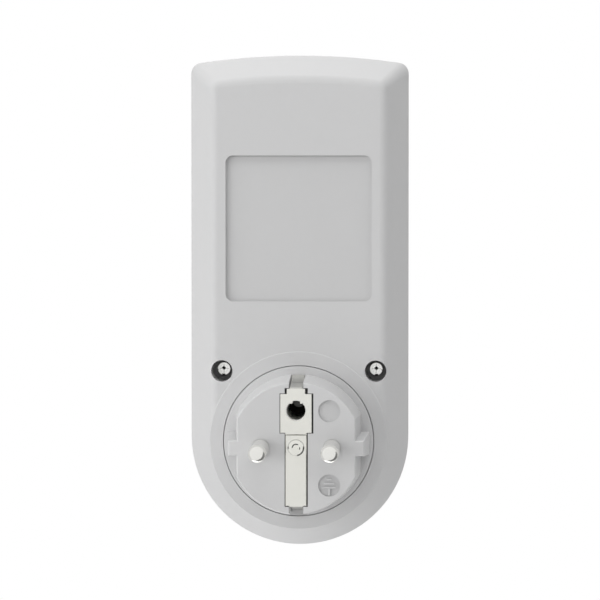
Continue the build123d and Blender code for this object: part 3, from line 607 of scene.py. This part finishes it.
def flatArc(radius, width, degrees):    # a flat band about the middle, open at its top
    deselectAll()
    bpy.ops.mesh.primitive_plane_add(size=width * mm, rotation=(math.pi / 2, 0, 0))
    arc = bpy.context.object
    bpy.ops.object.transform_apply()
    startEditing(arc)
    pick(arc, "verts", lambda corner: corner.co.x > 0)
    bpy.ops.mesh.delete(type="VERT")
    bpy.ops.mesh.select_all(action="SELECT")
    bpy.ops.transform.translate(value=(width / 2 * mm, 0, radius * mm))
    start = math.radians((360.0 - degrees) / 2)
    bpy.ops.transform.rotate(value=start, orient_axis="Y", center_override=(0, 0, 0))
    steps = int(degrees / flatWork["arcStep"])
    bpy.ops.mesh.spin(steps=steps, angle=math.radians(degrees), center=(0, 0, 0), axis=(0, 1, 0))
    bpy.ops.mesh.select_all(action="SELECT")
    bpy.ops.mesh.remove_doubles(threshold=flatWork["weld"] * mm)
    bpy.ops.object.mode_set(mode="OBJECT")
    return arc


def thicken(piece, depth, edge=0.0):    # half of the depth to each side, then an optional soft edge
    takeUp(piece)
    wall = piece.modifiers.new("wall", "SOLIDIFY")
    wall.thickness = depth * mm
    wall.offset = 0.0
    bpy.ops.object.modifier_apply(modifier="wall")
    if edge:
        soft = piece.modifiers.new("edge", "BEVEL")
        soft.width = edge * mm
        soft.segments = flatWork["edgeSegments"]
        soft.limit_method = "ANGLE"
        bpy.ops.object.modifier_apply(modifier="edge")
    startEditing(piece)
    bpy.ops.mesh.select_all(action="SELECT")
    bpy.ops.mesh.normals_make_consistent(inside=False)
    bpy.ops.object.mode_set(mode="OBJECT")
    bpy.ops.object.shade_smooth_by_angle(angle=math.radians(flatWork["smooth"]))


def setOn(piece, name, behind, lower=0.0):    # behind the display side of a node's box, and below its middle
    low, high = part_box(name)
    middle = (low + high) / 2 / mm
    moveBy(piece, (middle.x, low.y / mm + behind, middle.z - lower))


def finishPiece(piece, finish, body):
    piece.data.materials.clear()
    piece.data.materials.append(finishes[finish])
    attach(piece, body)


# Lips of the rolled earth contact, that stand in the round hole; each runs back into a leaf

lips = {
    "shift": -0.12, "across": 1.38, "height": 12.22, "front": -0.20,    # place of the pair
    "width": 0.86, "tall": 0.75, "thickness": 0.62,
    "leaf": 5.0, "leafRise": 0.3, "leafDraw": (0.45, 0.5),              # what its end keeps of x and z
    "edge": 0.12, "segments": 3, "smooth": 40,
}


def makeLips():
    deselectAll()
    bpy.ops.mesh.primitive_cube_add(size=1)
    lip = bpy.context.object
    lip.scale = (lips["width"] * mm, lips["thickness"] * mm, lips["tall"] * mm)
    bpy.ops.object.transform_apply()
    startEditing(lip)
    pick(lip, "faces", lambda face: face.normal.y < -0.9)
    bpy.ops.mesh.extrude_region_move(
        TRANSFORM_OT_translate={"value": (0, -lips["leaf"] * mm, lips["leafRise"] * mm)}
    )
    drawnX, drawnZ = lips["leafDraw"]
    bpy.ops.transform.resize(value=(drawnX, 1, drawnZ))
    bpy.ops.mesh.select_all(action="SELECT")
    bpy.ops.mesh.bevel(offset=lips["edge"] * mm, segments=lips["segments"], affect="EDGES")
    bpy.ops.object.mode_set(mode="OBJECT")
    bpy.ops.object.shade_smooth_by_angle(angle=math.radians(lips["smooth"]))
    depth = lips["front"] - lips["thickness"] / 2
    pair = setOut(lip, [(lips["shift"] + side * lips["across"], depth, lips["height"]) for side in (1, -1)])
    return joinAll(pair, "earth_contact_lips")


finishPiece(makeLips(), "nickel", "housing")
print("earth contact lips")


# Earth sign, raised from the floor of the lower disc: three bars and a stem
# Strokes of a sign are length, width, turn, and their places across and up from its middle.

earthSign = {
    "centre": (-8.85, -9.9), "floor": -0.60, "rise": 0.50, "edge": 0.12,
    "strokes": [
        (1.30, 0.40, 90, [(0, 1.55)]),
        (2.80, 0.40, 90, [(0, 0.45)]),
        (3.90, 0.40, 90, [(0, -0.65)]),
        (2.00, 0.52, 0, [(0, -1.65)]),
    ],
}


def makeStrokes(sign):
    made = []
    for stroke in sign["strokes"]:
        made += flatStrokes(*stroke)
    return made


def makeEarthSign():
    sign = joinAll(makeStrokes(earthSign), "earth_sign")
    thicken(sign, earthSign["rise"], earthSign["edge"])
    across, up = earthSign["centre"]
    moveBy(sign, (across, earthSign["floor"] + earthSign["rise"] / 2, up))
    return sign


finishPiece(makeEarthSign(), "insert", "housing")
print("earth sign")


# Display: hours and minutes in seven segments, under a row of day ticks and a rule

digits = {
    "lower": 1.6, "before": 0.035, "depth": 0.05,           # below the panel's middle and before its front
    "across": 5.6, "tall": 10.8, "stroke": 1.2, "gap": 0.2,
    "places": {-13.0: "2", -5.2: "0", 5.2: "3", 13.0: "0"},
    "dot": (1.11, 1.1, 2.0),                                # length, width, height
    "ticks": (7, 4.9, 2.4, 0.8, 9.2),                       # count, pitch, length, width, height
    "rule": (33.0, 0.3, 7.5),                               # length, width, height
}

segmentsLit = {"0": "abcdef", "2": "abged", "3": "abgcd"}


def litPlaces(kinds):    # where segments of these kinds are lit, across and up from the row's middle
    side = digits["across"] / 2
    quarter = digits["tall"] / 4
    shifts = {
        "a": (0, 2 * quarter), "g": (0, 0), "d": (0, -2 * quarter),
        "b": (side, quarter), "c": (side, -quarter), "e": (-side, -quarter), "f": (-side, quarter),
    }
    places = []
    for middle, digit in digits["places"].items():
        for segment in segmentsLit[digit]:
            if segment in kinds:
                across, up = shifts[segment]
                places.append((middle + across, up))
    return places


def makeDigits():
    stroke, gap = digits["stroke"], digits["gap"]
    made = flatStrokes(digits["across"] - gap, stroke, 90, litPlaces("adg"), 6)
    made += flatStrokes(digits["tall"] / 2 - gap, stroke, 0, litPlaces("bcef"), 6)
    length, width, height = digits["dot"]
    made += flatStrokes(length, width, 0, [(0, height), (0, -height)])
    count, pitch, length, width, height = digits["ticks"]
    row = [((number - (count - 1) / 2) * pitch, height) for number in range(count)]
    made += flatStrokes(length, width, 90, row)
    length, width, height = digits["rule"]
    made += flatStrokes(length, width, 90, [(0, height)])
    figures = joinAll(made, "display_figures")
    thicken(figures, digits["depth"])
    setOn(figures, "lcd_panel", -digits["before"], digits["lower"])
    return figures


finishPiece(makeDigits(), "segment", "housing")
print("display figures")


# Printed border behind the window, round the display's opening

border = {
    "behind": 1.15, "depth": 0.05, "segments": 6,               # behind the front of the 1.1 mm window
    "outer": (43.4, 25.4, 1.7), "inner": (38.1, 19.6, 1.0),     # width, height, corner
}


def roundedLoop(width, height, corner):
    deselectAll()
    bpy.ops.mesh.primitive_plane_add(size=1, rotation=(math.pi / 2, 0, 0))
    loop = bpy.context.object
    loop.scale = (width * mm, height * mm, 1)
    bpy.ops.object.transform_apply()
    startEditing(loop)
    bpy.ops.mesh.select_all(action="SELECT")
    bpy.ops.mesh.bevel(offset=corner * mm, segments=border["segments"], affect="VERTICES")
    bpy.ops.mesh.select_all(action="SELECT")
    bpy.ops.mesh.delete(type="ONLY_FACE")
    bpy.ops.object.mode_set(mode="OBJECT")
    return loop


def makeBorder():
    printed = joinAll([roundedLoop(*border["outer"]), roundedLoop(*border["inner"])], "window_border")
    startEditing(printed)
    bpy.ops.mesh.select_all(action="SELECT")
    bpy.ops.mesh.bridge_edge_loops()
    bpy.ops.object.mode_set(mode="OBJECT")
    thicken(printed, border["depth"])
    setOn(printed, "lcd_window", border["behind"])
    return printed


finishPiece(makeBorder(), "windowPrint", "housing")
print("window border")


# Signs printed on the key caps: strokes as above, and arcs of a radius, width and sweep

signPrint = {"proud": 0.04, "depth": 0.05}

keySigns = {
    "key_minute": {
        "arcs": [(1.55, 0.28, 360)],
        "strokes": [(1.25, 0.28, 0, [(0, 0.55)])],
    },
    "key_hour": {
        "arcs": [(1.55, 0.28, 360)],
        "strokes": [(1.25, 0.28, 0, [(0, 0.55)]), (0.9, 0.28, 90, [(0.32, 0)])],
    },
    "key_day": {
        "arcs": [],
        "strokes": [
            (3.6, 0.28, 90, [(0, 1.4), (0, -1.4)]),
            (2.9, 0.28, 0, [(-1.7, 0), (1.7, 0)]),
            (3.4, 0.24, 90, [(0, 0.55)]),
            (0.9, 0.50, 90, [(-0.8, -0.4), (0.8, -0.4)]),
        ],
    },
    "key_mode": {
        "arcs": [(1.5, 0.3, 290)],
        "strokes": [(1.7, 0.3, 0, [(0, 1.0)])],
    },
    "key_clock": {
        "arcs": [(1.55, 0.28, 360)],
        "strokes": [(1.1, 0.28, 0, [(0, 0.45)]), (1.1, 0.28, 90, [(0.4, 0)])],
    },
    "key_program": {
        "arcs": [],
        "strokes": [(3.6, 0.34, 90, [(0, 1.1), (0, 0), (0, -1.1)])],
    },
}


def makeKeySign(key, sign):
    made = [flatArc(*arc) for arc in sign["arcs"]]
    printed = joinAll(made + makeStrokes(sign), key + "_sign")
    thicken(printed, signPrint["depth"])
    setOn(printed, key, signPrint["depth"] / 2 - signPrint["proud"])
    return printed


for key, sign in keySigns.items():
    finishPiece(makeKeySign(key, sign), "keyPrint", key + "_body")
print("signs on", len(keySigns), "keys")


# Shutter spring: a coil in the place of the frame's spring, which it hides

coil = {"wire": 0.25, "turns": 7, "corners": 8, "steps": 24, "smooth": 50}    # wire is its radius, in mm


def makeCoil():
    low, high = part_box("shutter_spring")
    wire = coil["wire"] * mm
    deselectAll()
    bpy.ops.mesh.primitive_circle_add(
        vertices=coil["corners"], radius=wire, rotation=(math.pi / 2, 0, 0),
        location=((high.x - low.x) / 2 - wire, 0, 0),
    )
    spring = bpy.context.object
    spring.name = "shutter_coil"
    spring.data.name = "shutter_coil"
    bpy.ops.object.transform_apply()
    winding = spring.modifiers.new("winding", "SCREW")
    winding.steps = winding.render_steps = coil["steps"]
    winding.iterations = coil["turns"]
    winding.screw_offset = (high.z - low.z - 2 * wire) / coil["turns"]
    bpy.ops.object.modifier_apply(modifier="winding")
    startEditing(spring)
    bpy.ops.mesh.select_all(action="SELECT")
    bpy.ops.mesh.fill_holes(sides=0)
    bpy.ops.mesh.normals_make_consistent(inside=False)
    bpy.ops.object.mode_set(mode="OBJECT")
    bpy.ops.object.shade_smooth_by_angle(angle=math.radians(coil["smooth"]))
    moveBy(spring, Vector(((low.x + high.x) / 2, (low.y + high.y) / 2, low.z + wire)) / mm)
    return spring


def fitCoil():
    spring = makeCoil()
    low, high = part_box("shutter_spring")
    slide = next(joint for joint in frame["joints"] if joint["name"] == "shutter_slide")
    travel = max(map(abs, slide["range_m"]))
    finishPiece(spring, "spring", "housing")
    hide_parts("shutter_spring")
    1 - travel / (high.z - low.z)
    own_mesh(spring)


fitCoil()
print("shutter coil")


# Floor, world and lamps

studio = {
    "floorLevel": -0.30, "floorRadius": 1.2, "floorCorners": 128,
    "floorColour": (0.80, 0.80, 0.80), "floorRoughness": 0.9, "mottle": 0.01, "mottleScale": 3.0,
    "surround": 0.383, "white": 1.0, "mirrored": 0.60,
    "cards": {    # seen in polished metal: direction, cosines at the card's edge and inside it, brightness
        "front": ((0.0, 1.0, 0.04), 0.66, 0.74, 0.90),
        "bounce": ((0.05, 0.1, -0.99), 0.77, 0.85, 1.9),
        "flag": ((-0.525, 0.67, -0.525), 0.76, 0.81, 0.0),
    },
    "aim": (0.0, 0.0, 0.04),
    "lamps": {    # place, size across, watts
        "overhead": ((0.1, 0.35, 1.35), 1.2, 8.5),
        "side": ((1.0, 0.9, 0.0), 1.4, 8.3),
        "sideLow": ((1.3, 0.45, 0.15), 1.2, 4.7),
        "farSide": ((-0.9, 0.5, 1.1), 0.8, 3.2),
        "behind": ((0.0, -0.9, 1.2), 1.0, 11.3),
    },
}


def seeThroughFromBelow(made):
    under = made.node("NewGeometry", output="Backfacing")
    clear = made.node("BsdfTransparent")
    solid = Wire(made, made.tree.nodes["Principled BSDF"].outputs["BSDF"])
    mixed = made.node("MixShader", {}, {0: under, 1: solid, 2: clear})
    made.feed(made.tree.nodes["Material Output"].inputs["Surface"], mixed)


def makeFloor():
    deselectAll()
    bpy.ops.mesh.primitive_circle_add(
        vertices=studio["floorCorners"], radius=studio["floorRadius"], fill_type="NGON",
        location=(0, 0, studio["floorLevel"]),
    )
    floor = bpy.context.object
    floor.name = "floor"
    made = newFinish("paleFloor")
    mottle = made.noise(studio["mottleScale"])
    dark = shade(studio["floorColour"], 1 - studio["mottle"])
    light = shade(studio["floorColour"], 1 + studio["mottle"])
    made.set(baseColor=made.blend(mottle, dark, light), roughness=studio["floorRoughness"])
    seeThroughFromBelow(made)
    floor.data.materials.append(made.block)
    floor.visible_glossy = False


def cardIn(made, directions, card):    # 1 inside a round card seen in that direction, soft at its edge
    direction, outer, inner, strength = card
    facing = made.node("VectorMath", {"operation": "DOT_PRODUCT"}, {0: directions, 1: direction}, "Value")
    edge = {"Value": facing, "From Min": outer, "From Max": inner}
    return made.node("MapRange", {"interpolation_type": "SMOOTHSTEP"}, edge), strength


def makeWorld():
    world = bpy.data.worlds.new("surround")
    bpy.context.scene.world = world
    made = Finish(world)
    camera = made.node("LightPath", output="Is Camera Ray")
    glossy = made.node("LightPath", output="Is Glossy Ray")
    clear = made.node("LightPath", output="Is Transmission Ray")
    directions = made.node("TexCoord", output="Generated")
    mirrored = studio["mirrored"]
    for card in studio["cards"].values():
        inside, strength = cardIn(made, directions, card)
        mirrored = mirrored + inside * (strength - mirrored)
    base = studio["surround"]
    strength = base + camera * (studio["white"] - base) + clear * (studio["white"] - base)
    strength = strength + glossy * (mirrored - base)
    background = made.tree.nodes["Background"]
    background.inputs["Color"].default_value = (1, 1, 1, 1)
    made.feed(background.inputs["Strength"], strength)


def makeLamps():
    for name, (place, size, watts) in studio["lamps"].items():
        bpy.ops.object.light_add(type="AREA", location=place)
        lamp = bpy.context.object
        lamp.name = name
        lamp.data.size = size
        lamp.data.energy = watts
        lamp.rotation_mode = "QUATERNION"
        lamp.rotation_quaternion = (Vector(studio["aim"]) - Vector(place)).to_track_quat("-Z", "Y")
        lamp.visible_camera = False
        lamp.visible_glossy = False


makeFloor()
makeWorld()
makeLamps()
print("studio lit")
